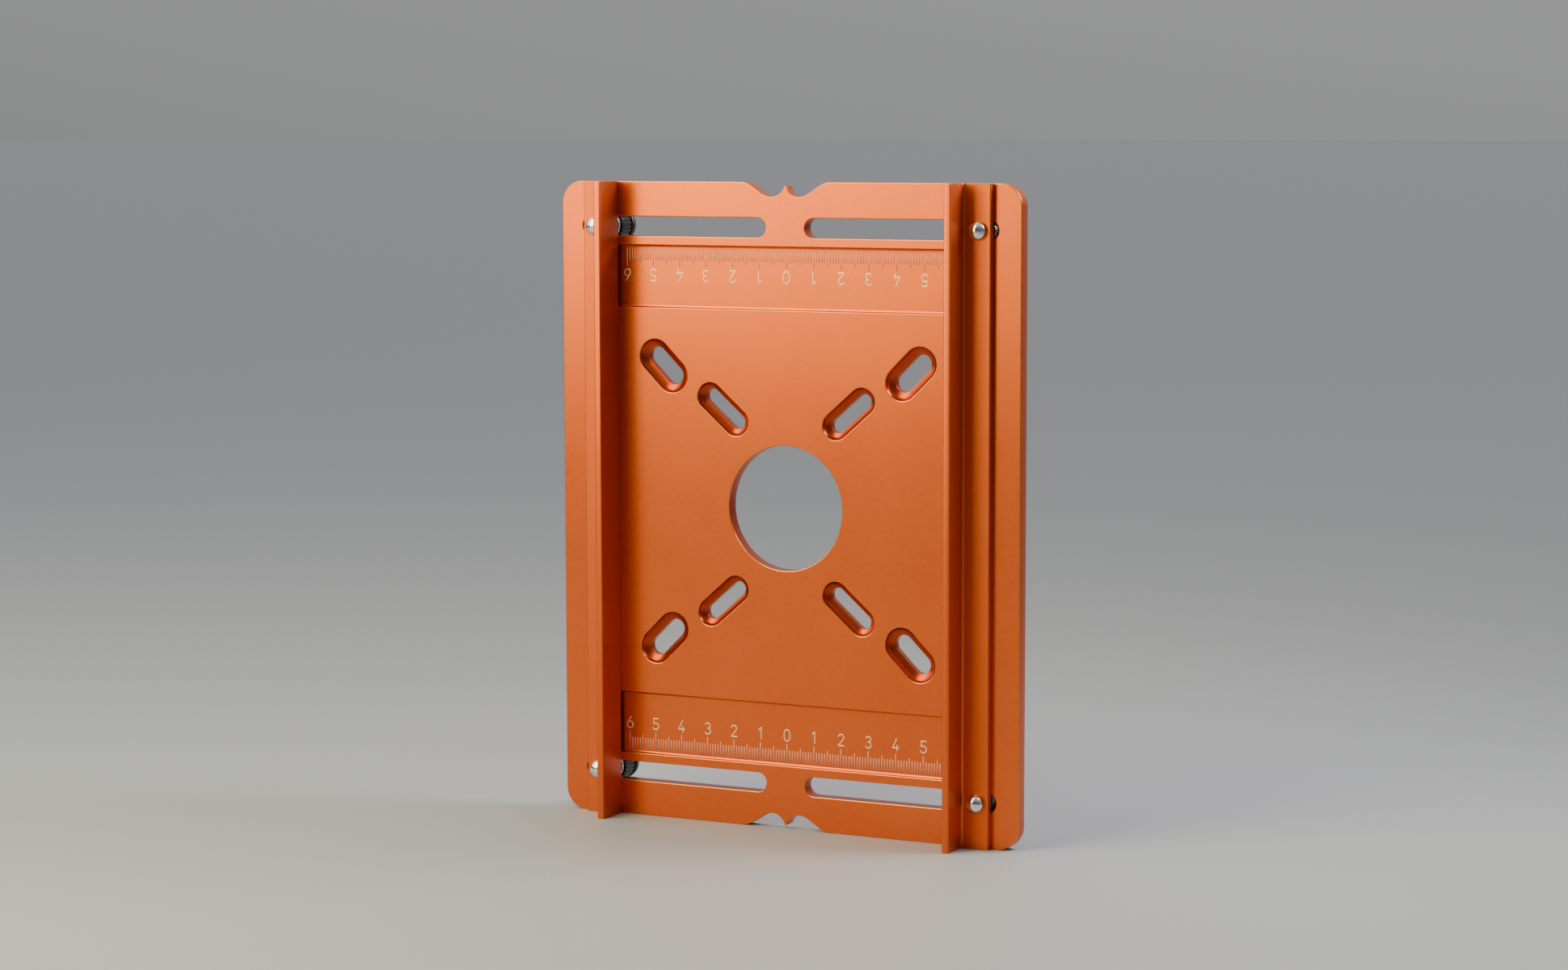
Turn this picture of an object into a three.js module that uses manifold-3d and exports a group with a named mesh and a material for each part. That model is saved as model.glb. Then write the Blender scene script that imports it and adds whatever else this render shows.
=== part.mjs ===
// Router base plate: a flat aluminium plate with a cutter hole, scale bands and two sliding edge
// fences, each held by two studs with thumb nuts behind the plate.
// Millimetres, +Z up. The plate stands on its lower edge and its scale side looks towards -Y.
import * as THREE from 'three';
import { mergeVertices } from 'three/addons/utils/BufferGeometryUtils.js';
import Module from 'manifold-3d';

const wasm = await Module();
wasm.setup();

// Plate
const plateWidth = 168.8;
const plateHeight = 216.2;
const plateThickness = 5;
const plateCornerRadius = 7.5;
const plateEdgeBreak = 0.3;

// Cutter hole in the middle of the plate
const boreRadius = 20.9;

// Centre pointer in the middle of the upper and the lower edge
const notchHalfWidth = 16.5;
const notchDepth = 4.9;
const notchValleyOffset = 5.2;
const notchTipDepth = 1.2;
const notchTipRound = 0.35;
const notchShoulderShare = 0.4;
const notchValleyShare = 0.32;

// Long slots that guide the fence studs
const slotInset = 15.1;
const slotRadius = 3.25;
const slotBridge = 14.4;
const slotEndMargin = 8;

// Shallow bands that carry the scales
const scaleInset = 21.3;
const scaleBandHeight = 21.1;
const scaleEndMargin = 12.4;
const scaleDepth = 1.2;
const scaleCornerRadius = 3;
const scaleRimBreak = 0.2;
const scaleFloorRound = 0.85;

// Counterbored slots for the router's own screws, placed from the middle of the plate
const outerScrewSlot = { across: 45.7, up: 46.2, turn: 44.5, span: 9.1, throatRadius: 3.1, bowlRadius: 5.75 };
const innerScrewSlot = { across: 23.25, up: 32.3, turn: 41, span: 12.7, throatRadius: 2.45, bowlRadius: 4.65 };
const bowlDepth = 2.3;
const bowlRimBreak = 0.3;

// Fences: an angle with its flange on the plate and its upright towards the viewer. Each is set
// some way in from its outermost place, where its studs would meet the ends of their slots.
const fenceStandIn = 2.95;
const fenceReach = 12.8;
const uprightThickness = 2.5;
const flangeWidth = 12;
const flangeThickness = 2.5;
const fenceFillet = 0.8;
const fenceEdgeRound = 0.4;
const fenceEndBreak = 0.2;

// Studs pressed into the flanges, with polished round heads
const studSetback = 7.5;
const studRadius = 2.5;
const studHeadRadius = 3.1;
const studHeadHeight = 3;
const studHeadLand = 0.7;
const studShortfall = 0.9;
const studEndBreak = 0.6;
const studHoleClearance = 0.25;

// Plain washers behind the plate
const washerRadius = 5;
const washerThickness = 1;
const washerHoleClearance = 0.25;

// Hexagon inserts moulded into the thumb nuts
const insertAcrossFlats = 8;
const insertLength = 5;
const insertStandOff = 0.8;
const insertClearance = 0.3;
const insertEdgeBreak = 0.5;

// Thumb nut grips
const gripRadius = 5.8;
const gripLength = 5.9;
const knurlDepth = 0.5;
const knurlCount = 26;
const knurlCrestShare = 0.4;
const grooveRadius = 4.9;
const grooveWidth = 0.5;
const collarRadius = 6;
const collarLength = 2.2;
const collarRound = 0.6;
const dishRadius = 4.2;
const dishDepth = 0.5;

// How far every cut runs past the face it opens, and how finely round stretches are divided
const overrun = 1;
const roundSteps = 8;
const bowlSteps = 3;
const domeSteps = 5;
const collarSteps = 2;
const curveSteps = 5;
const boreSteps = 60;
const turnedSteps = 24;
const degree = Math.PI / 180;
const ends = [1, -1];

// Places that follow from the sizes above
const middleHeight = plateHeight / 2;
const slotOuterEnd = plateWidth / 2 - slotEndMargin;
const slotInnerEnd = slotBridge / 2;
const studAcross = slotOuterEnd - slotRadius - fenceStandIn;
const fenceSetting = studAcross - studSetback;
const studHeights = { upper: plateHeight - slotInset, lower: slotInset };
const washerFace = plateThickness;
const insertFace = washerFace + washerThickness;
const gripFace = insertFace + insertStandOff;
const grooveFace = gripFace + gripLength;
const collarFace = grooveFace + grooveWidth;
const nutEnd = collarFace + collarLength;
const studEnd = nutEnd - studShortfall;
const sides = { left: -1, right: 1 };

const finishes = {
  anodised: { color: 0xd8743c, roughness: 0.42, metalness: 0.55 },
  polished: { color: 0xd9d6d0, roughness: 0.12, metalness: 1 },
  plated: { color: 0xb9bab8, roughness: 0.3, metalness: 1 },
  blackMoulded: { color: 0x121313, roughness: 0.35, metalness: 0 },
};

// A geometry's welded triangles as a solid for joining and cutting.
function solidOf(geometry) {
  const bare = geometry.clone();
  bare.deleteAttribute('normal');
  bare.deleteAttribute('uv');
  const welded = mergeVertices(bare);
  const corners = welded.index.array;
  const triVerts = [];
  for (let i = 0; i < corners.length; i += 3) {
    const [a, b, c] = corners.slice(i, i + 3);
    if (a !== b && b !== c && c !== a) triVerts.push(a, b, c);
  }
  const vertProperties = new Float32Array(welded.attributes.position.array);
  const mesh = new wasm.Mesh({ numProp: 3, vertProperties, triVerts: new Uint32Array(triVerts) });
  return new wasm.Manifold(mesh);
}

// A finished solid as a three.js geometry.
function geometryOf(solid) {
  const { vertProperties, triVerts } = solid.getMesh();
  const geometry = new THREE.BufferGeometry();
  geometry.setAttribute('position', new THREE.BufferAttribute(vertProperties, 3));
  geometry.setIndex(new THREE.BufferAttribute(triVerts, 1));
  geometry.computeVertexNormals();
  return geometry;
}

// A named mesh with a material of its own.
function piece(name, solid, finish) {
  const material = new THREE.MeshStandardMaterial({ ...finish, flatShading: true });
  const mesh = new THREE.Mesh(geometryOf(solid), material);
  mesh.name = name;
  return mesh;
}

// A turned solid about Y from its profile, a list of [radius, y] with the outside running up Y.
function turned(profile, steps = turnedSteps) {
  const points = profile.map(([radius, y]) => new THREE.Vector2(radius, y));
  return new THREE.LatheGeometry(points, steps);
}

// A closed solid through a stack of outlines along +Y, each star-shaped about the Y axis.
function lofted(rings) {
  const count = rings[0].length;
  const lastRing = rings.length - 1;
  const corners = rings.flat();
  const startMiddle = corners.push(new THREE.Vector3(0, rings[0][0].y, 0)) - 1;
  const endMiddle = corners.push(new THREE.Vector3(0, rings[lastRing][0].y, 0)) - 1;
  const faces = [];
  for (let j = 0; j < count; j += 1) {
    const k = (j + 1) % count;
    faces.push(startMiddle, k, j);
    faces.push(endMiddle, lastRing * count + j, lastRing * count + k);
    for (let ring = 0; ring < lastRing; ring += 1) {
      const near = ring * count;
      const far = near + count;
      faces.push(near + j, near + k, far + j);
      faces.push(far + k, far + j, near + k);
    }
  }
  const geometry = new THREE.BufferGeometry().setFromPoints(corners);
  geometry.setIndex(faces);
  return geometry;
}

// The outline of a round-ended slot along X at height y on the Y axis.
function slotRing(span, radius, y) {
  const ring = [];
  for (const end of ends) {
    for (let step = 0; step <= roundSteps; step += 1) {
      const angle = Math.PI * (step / roundSteps) + (end > 0 ? 0 : Math.PI);
      const x = (end * span) / 2 + radius * Math.sin(angle);
      ring.push(new THREE.Vector3(x, y, radius * Math.cos(angle)));
    }
  }
  return ring;
}

// A cutter for a round-ended slot whose radius follows stations, a list of [radius, y].
function slotCutter(span, stations) {
  return lofted(stations.map(([radius, y]) => slotRing(span, radius, y)));
}

// Stations of a plain hole through the plate with both rims broken.
function throughStations(radius) {
  const rim = radius + plateEdgeBreak;
  return [
    [rim, -overrun],
    [rim, 0],
    [radius, plateEdgeBreak],
    [radius, plateThickness - plateEdgeBreak],
    [rim, plateThickness],
    [rim, plateThickness + overrun],
  ];
}

// Stations of a screw slot: a broken rim, a bowl that curves in to its floor, then the throat.
function bowlStations({ throatRadius, bowlRadius }) {
  const rim = bowlRadius + bowlRimBreak;
  const stations = [[rim, -overrun], [rim, 0]];
  for (let step = 0; step <= bowlSteps; step += 1) {
    const angle = (Math.PI / 2) * (step / bowlSteps);
    const radius = throatRadius + (bowlRadius - throatRadius) * Math.cos(angle);
    stations.push([radius, bowlRimBreak + (bowlDepth - bowlRimBreak) * Math.sin(angle)]);
  }
  stations.push([throatRadius, plateThickness - bowlRimBreak]);
  stations.push([throatRadius + bowlRimBreak, plateThickness]);
  stations.push([throatRadius + bowlRimBreak, plateThickness + overrun]);
  return stations;
}

// A closed outline whose corners, each [x, y, round], are rounded by a curve of that size.
function roundedShape(corners) {
  const shape = new THREE.Shape();
  corners.forEach(([x, y, round], i) => {
    const corner = new THREE.Vector2(x, y);
    const [px, py] = corners.at(i - 1);
    const [nx, ny] = corners[(i + 1) % corners.length];
    const before = new THREE.Vector2(px, py).sub(corner).setLength(round).add(corner);
    const after = new THREE.Vector2(nx, ny).sub(corner).setLength(round).add(corner);
    if (i === 0) shape.moveTo(before.x, before.y);
    else shape.lineTo(before.x, before.y);
    shape.quadraticCurveTo(corner.x, corner.y, after.x, after.y);
  });
  return shape;
}

// An outline pushed out along +Z, with both of its end rims broken inside the full size.
function extrudedWithBreaks(shape, length, rimBreak) {
  return new THREE.ExtrudeGeometry(shape, {
    depth: length - 2 * rimBreak,
    curveSegments: curveSteps,
    bevelSegments: 1,
    bevelThickness: rimBreak,
    bevelSize: rimBreak,
    bevelOffset: -rimBreak,
  }).translate(0, 0, rimBreak);
}

// Stands an outline that was pushed out along +Z upright, so that it runs from y = 0 to y = depth.
function stoodUp(geometry, depth) {
  return geometry.rotateX(Math.PI / 2).translate(0, depth, 0);
}

// Half of the plate's edge about its middle: up the right side, over the upper edge, down the left.
function halfPlateEdge() {
  const right = plateWidth / 2;
  const top = plateHeight / 2;
  const round = plateCornerRadius;
  const rise = notchDepth - notchTipDepth;
  const centreDistance = (notchValleyOffset ** 2 + rise ** 2) / (2 * rise);
  const valleyRadius = centreDistance - notchTipRound;
  const tipAngle = Math.atan2(centreDistance - rise, notchValleyOffset);
  const valley = top - notchDepth;
  const ramp = notchHalfWidth - notchValleyOffset;
  const shoulderHandle = notchHalfWidth - notchShoulderShare * ramp;
  const valleyHandle = notchValleyOffset + notchValleyShare * ramp;
  const quarter = Math.PI / 2;
  const path = new THREE.Path();
  path.moveTo(right, 0);
  path.lineTo(right, top - round);
  path.absarc(right - round, top - round, round, 0, quarter);
  path.lineTo(notchHalfWidth, top);
  path.bezierCurveTo(shoulderHandle, top, valleyHandle, valley, notchValleyOffset, valley);
  path.absarc(notchValleyOffset, valley + valleyRadius, valleyRadius, -quarter, tipAngle - Math.PI, true);
  path.absarc(0, top - notchTipDepth - notchTipRound, notchTipRound, tipAngle, Math.PI - tipAngle);
  path.absarc(-notchValleyOffset, valley + valleyRadius, valleyRadius, -tipAngle, -quarter, true);
  path.bezierCurveTo(-valleyHandle, valley, -shoulderHandle, top, -notchHalfWidth, top);
  path.lineTo(round - right, top);
  path.absarc(round - right, top - round, round, quarter, Math.PI);
  return path.getPoints(curveSteps);
}

// The plate's whole edge: the half edge and the same half turned end for end.
function plateShape() {
  const half = halfPlateEdge();
  const other = half.map((point) => point.clone().negate());
  const points = [...half, ...other];
  const nearest = plateEdgeBreak / roundSteps;
  const spaced = points.filter((point, i) => point.distanceTo(points.at(i - 1)) > nearest);
  return new THREE.Shape(spaced);
}

// The outline of a rectangle with round corners about the Y axis at height y.
function bandRing(reach, rise, radius, y) {
  const ring = [];
  const quarters = [[1, 1], [1, -1], [-1, -1], [-1, 1]];
  quarters.forEach(([across, up], quarter) => {
    for (let step = 0; step <= curveSteps; step += 1) {
      const angle = (Math.PI / 2) * (quarter + step / curveSteps);
      const x = across * (reach - radius) + radius * Math.sin(angle);
      const z = up * (rise - radius) + radius * Math.cos(angle);
      ring.push(new THREE.Vector3(x, y, z));
    }
  });
  return ring;
}

// Stations of a scale band as [inset, y]: a broken rim, a straight wall, then a round to the floor.
function bandStations() {
  const round = Math.min(scaleFloorRound, scaleDepth - scaleRimBreak);
  const stations = [[-scaleRimBreak, -overrun], [-scaleRimBreak, 0], [0, scaleRimBreak]];
  for (let step = 0; step <= bowlSteps; step += 1) {
    const angle = (Math.PI / 2) * (step / bowlSteps);
    stations.push([round * (1 - Math.cos(angle)), scaleDepth - round * (1 - Math.sin(angle))]);
  }
  return stations;
}

// Cutters of the two scale bands, sunk into the scale side.
function scaleBandCutters() {
  const reach = plateWidth / 2 - scaleEndMargin;
  const rise = scaleBandHeight / 2;
  const up = middleHeight - scaleInset - rise;
  const radius = scaleCornerRadius;
  const rings = bandStations().map(([inset, y]) => bandRing(reach - inset, rise - inset, radius - inset, y));
  return ends.map((end) => lofted(rings).translate(0, 0, middleHeight + end * up));
}

// Cutters of the four long guide slots.
function guideSlotCutters() {
  const span = slotOuterEnd - slotInnerEnd - 2 * slotRadius;
  const across = (slotInnerEnd + slotOuterEnd) / 2;
  const cutters = [];
  for (const side of Object.values(sides)) {
    for (const height of Object.values(studHeights)) {
      const cutter = slotCutter(span, throughStations(slotRadius));
      cutters.push(cutter.translate(side * across, 0, height));
    }
  }
  return cutters;
}

// Cutters of four like screw slots, one in each quarter, with their long axes leaning outwards.
function screwSlotCutters(slot) {
  const cutters = [];
  for (const side of Object.values(sides)) {
    for (const end of ends) {
      const cutter = slotCutter(slot.span, bowlStations(slot)).rotateY(-side * end * slot.turn * degree);
      cutters.push(cutter.translate(side * slot.across, 0, middleHeight + end * slot.up));
    }
  }
  return cutters;
}

function basePlate() {
  const blank = stoodUp(extrudedWithBreaks(plateShape(), plateThickness, plateEdgeBreak), plateThickness);
  const bore = turned([[0, -overrun], ...throughStations(boreRadius), [0, plateThickness + overrun]], boreSteps);
  const cutters = [
    bore.translate(0, 0, middleHeight),
    ...scaleBandCutters(),
    ...guideSlotCutters(),
    ...screwSlotCutters(outerScrewSlot),
    ...screwSlotCutters(innerScrewSlot),
  ];
  const standing = solidOf(blank.translate(0, 0, middleHeight));
  return cutters.reduce((plate, cutter) => plate.subtract(solidOf(cutter)), standing);
}

// One fence as an angle, with a hole in its flange for each stud. side is 1 for right, -1 for left.
function fence(side) {
  const inner = side * fenceSetting;
  const upright = side * (fenceSetting + uprightThickness);
  const outer = side * (fenceSetting + flangeWidth);
  const profile = roundedShape([
    [inner, 0, fenceEdgeRound],
    [inner, -fenceReach, fenceEdgeRound],
    [upright, -fenceReach, fenceEdgeRound],
    [upright, -flangeThickness, fenceFillet],
    [outer, -flangeThickness, fenceEdgeRound],
    [outer, 0, fenceEdgeRound],
  ]);
  const angle = solidOf(extrudedWithBreaks(profile, plateHeight, fenceEndBreak));
  const holeRadius = studRadius + studHoleClearance;
  const start = -flangeThickness - overrun;
  const hole = turned([[0, start], [holeRadius, start], [holeRadius, overrun], [0, overrun]]);
  hole.translate(side * studAcross, 0, 0);
  return Object.values(studHeights).reduce(
    (solid, height) => solid.subtract(solidOf(hole.clone().translate(0, 0, height))),
    angle,
  );
}

// A stud: a short land and a dome in front of the flange, and a shank back through the plate.
function stud() {
  const seat = -flangeThickness;
  const dome = studHeadHeight - studHeadLand;
  const profile = [];
  for (let step = 0; step <= domeSteps; step += 1) {
    const angle = (Math.PI / 2) * (step / domeSteps);
    profile.push([studHeadRadius * Math.sin(angle), seat - studHeadLand - dome * Math.cos(angle)]);
  }
  profile[0][0] = 0;
  profile.push([studHeadRadius, seat], [studRadius, seat], [studRadius, studEnd - studEndBreak]);
  profile.push([studRadius - studEndBreak, studEnd], [0, studEnd]);
  return solidOf(turned(profile));
}

function washer() {
  const hole = studRadius + washerHoleClearance;
  const back = washerFace + washerThickness;
  return solidOf(turned([
    [hole, washerFace],
    [washerRadius, washerFace],
    [washerRadius, back],
    [hole, back],
    [hole, washerFace],
  ]));
}

// A hexagonal bar along Y between two heights.
function hexagonBar(acrossFlats, start, end) {
  const radius = acrossFlats / Math.sqrt(3);
  return new THREE.CylinderGeometry(radius, radius, end - start, 6).translate(0, (start + end) / 2, 0);
}

// The hexagon insert, its corners turned back at both ends.
function threadedInsert() {
  const back = insertFace + insertLength;
  const corner = insertAcrossFlats / Math.sqrt(3) + insertEdgeBreak;
  const flat = insertAcrossFlats / 2;
  const slope = (corner - flat) / 2;
  const dressed = turned([
    [0, insertFace],
    [flat, insertFace],
    [corner, insertFace + slope],
    [corner, back - slope],
    [flat, back],
    [0, back],
  ]);
  const hole = studRadius + studHoleClearance;
  const bore = turned([
    [0, insertFace - overrun],
    [hole, insertFace - overrun],
    [hole, back + overrun],
    [0, back + overrun],
  ]);
  const bar = solidOf(hexagonBar(insertAcrossFlats, insertFace, back));
  return bar.intersect(solidOf(dressed)).subtract(solidOf(bore));
}

// One knurled outline: every tooth has a flat crest and one root point.
function knurlRing(crest, root, y) {
  const ring = [];
  const pitch = (2 * Math.PI) / knurlCount;
  const halfCrest = (pitch * knurlCrestShare) / 2;
  const place = (radius, angle) => new THREE.Vector3(radius * Math.sin(angle), y, radius * Math.cos(angle));
  for (let tooth = 0; tooth < knurlCount; tooth += 1) {
    const angle = tooth * pitch;
    ring.push(place(crest, angle - halfCrest), place(crest, angle + halfCrest), place(root, angle + pitch / 2));
  }
  return ring;
}

// The grip of a thumb nut: a knurled drum, a groove and a plain collar with a dished back.
function thumbGrip() {
  const root = gripRadius - knurlDepth;
  const drum = solidOf(lofted([
    knurlRing(root, root, gripFace),
    knurlRing(gripRadius, root, gripFace + knurlDepth),
    knurlRing(gripRadius, root, grooveFace - knurlDepth),
    knurlRing(root, root, grooveFace),
  ]));
  const profile = [[0, gripFace + knurlDepth], [grooveRadius, gripFace + knurlDepth], [grooveRadius, collarFace]];
  for (let step = 0; step <= collarSteps; step += 1) {
    const angle = (Math.PI / 2) * (step / collarSteps);
    const radius = collarRadius - collarRound + collarRound * Math.sin(angle);
    profile.push([radius, collarFace + collarRound * (1 - Math.cos(angle))]);
  }
  for (let step = 0; step <= collarSteps; step += 1) {
    const angle = (Math.PI / 2) * (step / collarSteps);
    const radius = collarRadius - collarRound + collarRound * Math.cos(angle);
    profile.push([radius, nutEnd - collarRound + collarRound * Math.sin(angle)]);
  }
  profile.push([dishRadius, nutEnd], [dishRadius - dishDepth, nutEnd - dishDepth], [0, nutEnd - dishDepth]);
  const hole = studRadius + insertClearance;
  const pocketEnd = insertFace + insertLength + insertClearance;
  const bore = turned([[0, gripFace - overrun], [hole, gripFace - overrun], [hole, nutEnd], [0, nutEnd]]);
  const pocket = hexagonBar(insertAcrossFlats + 2 * insertClearance, gripFace - overrun, pocketEnd);
  return drum.add(solidOf(turned(profile))).subtract(solidOf(bore)).subtract(solidOf(pocket));
}

// One clamp at a stud's place: the stud, its washer and the two pieces of the thumb nut.
function clamp(label) {
  const group = new THREE.Group();
  group.add(
    piece(`${label}_stud`, stud(), finishes.polished),
    piece(`${label}_washer`, washer(), finishes.plated),
    piece(`${label}_insert`, threadedInsert(), finishes.plated),
    piece(`${label}_grip`, thumbGrip(), finishes.blackMoulded),
  );
  return group;
}

const routerBasePlate = new THREE.Group();
routerBasePlate.add(piece('base_plate', basePlate(), finishes.anodised));
for (const [sideName, side] of Object.entries(sides)) {
  routerBasePlate.add(piece(`${sideName}_fence`, fence(side), finishes.anodised));
  for (const [levelName, height] of Object.entries(studHeights)) {
    const corner = clamp(`${sideName}_${levelName}`);
    corner.position.set(side * studAcross, 0, height);
    routerBasePlate.add(corner);
  }
}

// The origin lies under the middle of the whole part, so the plate is moved off it along Y.
routerBasePlate.position.y = (fenceReach - nutEnd) / 2;

export default routerBasePlate;
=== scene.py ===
import math

import bmesh
import bpy
import numpy as np
from mathutils import Matrix, Vector
from mathutils.geometry import delaunay_2d_cdt


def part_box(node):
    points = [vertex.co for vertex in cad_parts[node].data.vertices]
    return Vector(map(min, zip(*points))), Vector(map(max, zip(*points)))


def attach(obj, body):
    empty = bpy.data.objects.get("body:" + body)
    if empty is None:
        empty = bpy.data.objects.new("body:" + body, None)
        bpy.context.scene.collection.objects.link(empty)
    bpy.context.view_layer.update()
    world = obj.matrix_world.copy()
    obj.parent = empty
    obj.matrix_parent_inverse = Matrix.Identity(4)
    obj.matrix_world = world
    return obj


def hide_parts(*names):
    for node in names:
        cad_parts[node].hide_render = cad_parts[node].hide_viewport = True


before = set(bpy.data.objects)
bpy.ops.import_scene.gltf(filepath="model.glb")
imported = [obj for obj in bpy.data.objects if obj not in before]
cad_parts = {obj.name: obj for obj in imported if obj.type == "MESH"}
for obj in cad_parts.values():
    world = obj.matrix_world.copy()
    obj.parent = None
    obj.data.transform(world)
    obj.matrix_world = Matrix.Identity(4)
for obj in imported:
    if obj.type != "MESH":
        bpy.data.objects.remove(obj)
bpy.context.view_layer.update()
print("frame loaded")

# Sizes of pieces are millimetres and degrees, and their meshes are made in metres at the end.
# The weld distance, the studio and the camera's place are metres.
millimetre = 0.001
weldDistance = 1e-6
repeatDistance = 1e-3
levelTolerance = 1e-6
triangleTolerance = 1e-5
sharpAngle = math.radians(35)
# Where a band or face lies, which is also the place of its material in the piece's list.
onFace, onRim, onCut = 0, 1, 2
planeAxes = [0, 2]
corners = [(side, level) for side in ("left", "right") for level in ("upper", "lower")]
signs = {"left": -1, "right": 1, "upper": 1, "lower": -1}


# The box of a CAD node in millimetres, as two rows: its lowest and its highest corner.
def nodeBox(node):
    return np.array([list(corner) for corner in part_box(node)]) / millimetre


# Points on an arc, from one angle to another: the middle plus the radius times cosine and sine.
def arc(middle, radius, start, end, steps):
    angle = np.radians(np.linspace(start, end, steps + 1))
    return np.asarray(middle) + radius * np.column_stack([np.cos(angle), np.sin(angle)])


# A cubic curve: its four handles weighed by the cubic Bernstein polynomials.
def cubic(handles, steps):
    t = np.linspace(0, 1, steps + 1)
    weights = np.column_stack([(1 - t) ** 3, 3 * t * (1 - t) ** 2, 3 * t**2 * (1 - t), t**3])
    return weights @ np.array(handles, float)


# A closed loop without points that repeat the one before them.
def withoutRepeats(loop):
    gap = np.linalg.norm(loop - np.roll(loop, 1, axis=0), axis=1)
    return loop[gap > repeatDistance]


# Unit normals of a closed loop that runs anticlockwise: its mean tangent at each point, turned
# a quarter turn outwards and lengthened at corners so that an offset stays parallel.
def loopNormals(loop):
    ahead = np.roll(loop, -1, axis=0) - loop
    ahead /= np.linalg.norm(ahead, axis=1)[:, None]
    tangent = ahead + np.roll(ahead, 1, axis=0)
    tangent *= 2 / np.sum(tangent**2, axis=1)[:, None]
    return np.column_stack([tangent[:, 1], -tangent[:, 0]])


# A closed polygon with each corner (x, y, radius) rounded by an arc that touches both sides. Its
# middle lies on the line that halves the corner, at the radius over the sine of half the angle.
def roundedPolygon(points, steps):
    loop = []
    for i, (x, y, radius) in enumerate(points):
        corner = np.array([x, y])
        before = np.array(points[i - 1][:2]) - corner
        after = np.array(points[(i + 1) % len(points)][:2]) - corner
        before = before / np.linalg.norm(before)
        after = after / np.linalg.norm(after)
        half = math.acos(np.clip(before @ after, -1, 1)) / 2
        towards = (before + after) / np.linalg.norm(before + after)
        middle = corner + towards * radius / math.sin(half)
        turn = np.linspace(-1, 1, steps + 1) * (math.pi / 2 - half)
        side = (after - before) / np.linalg.norm(after - before)
        sideways, inwards = np.outer(np.sin(turn), side), np.outer(np.cos(turn), towards)
        loop.append(middle + radius * (sideways - inwards))
    return np.concatenate(loop)


# A strip of faces between rows of points. Row after row follows a profile, and the points of a
# row run round a closed loop. finish gives the material of each band between two rows, and
# leaveOut names the faces that are not made, as pairs of a band and a place in the row.
def strip(rows, finish=onFace, leaveOut=()):
    rows = np.asarray(rows, float)
    bands, columns = rows.shape[0] - 1, rows.shape[1]
    number = np.arange(rows.shape[0] * columns).reshape(-1, columns)
    ahead = np.roll(number, -1, axis=1)
    quads = np.stack([number[:-1], ahead[:-1], ahead[1:], number[1:]], axis=-1)
    kept = np.ones((bands, columns), bool)
    for band, column in leaveOut:
        kept[band, column] = False
    finishes = np.broadcast_to(np.asarray(finish).reshape(-1, 1), (bands, columns))
    return {
        "points": rows.reshape(-1, 3),
        "faces": quads[kept],
        "finish": finishes[kept],
        "flat": False,
    }


# The flat face inside an outline and outside its holes: constrained Delaunay triangles, of
# which those that lie in the outline alone are kept. lift sets its plane points in space.
def flatFace(outline, holes, lift):
    insideOnly = 1
    loops = []
    for loop in (outline, *holes):
        area = np.sum(loop[:, 0] * np.roll(loop[:, 1], -1) - loop[:, 1] * np.roll(loop[:, 0], -1))
        loops.append(loop if area > 0 else loop[::-1])
    starts = np.cumsum([0] + [len(loop) for loop in loops])
    rings = [list(range(a, b)) for a, b in zip(starts[:-1], starts[1:])]
    plane = [Vector(point) for point in np.concatenate(loops)]
    cut = delaunay_2d_cdt(plane, [], rings, insideOnly, triangleTolerance)
    points, _, faces, _, _, owners = cut
    faces = np.array([face for face, owner in zip(faces, owners) if owner == [0]])
    points = np.array([list(point) for point in points])
    return {
        "points": lift(points),
        "faces": faces,
        "finish": np.full(len(faces), onFace),
        "flat": True,
    }


# Marks an edge sharp where a flat face meets a rounded one, or where its faces turn too far.
def markSharpEdges(mesh, flat):
    loopEdge = np.empty(len(mesh.loops), np.int32)
    mesh.loops.foreach_get("edge_index", loopEdge)
    total = np.empty(len(mesh.polygons), np.int32)
    mesh.polygons.foreach_get("loop_total", total)
    normal = np.empty(len(mesh.polygons) * 3, np.float32)
    mesh.polygons.foreach_get("normal", normal)
    normal = normal.reshape(-1, 3)
    faceOfLoop = np.repeat(np.arange(len(total)), total)
    pair = faceOfLoop[np.argsort(loopEdge, kind="stable")].reshape(-1, 2)
    turn = np.sum(normal[pair[:, 0]] * normal[pair[:, 1]], axis=1) < math.cos(sharpAngle)
    mesh.edges.foreach_set("use_edge_sharp", turn | (flat[pair[:, 0]] != flat[pair[:, 1]]))


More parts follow.
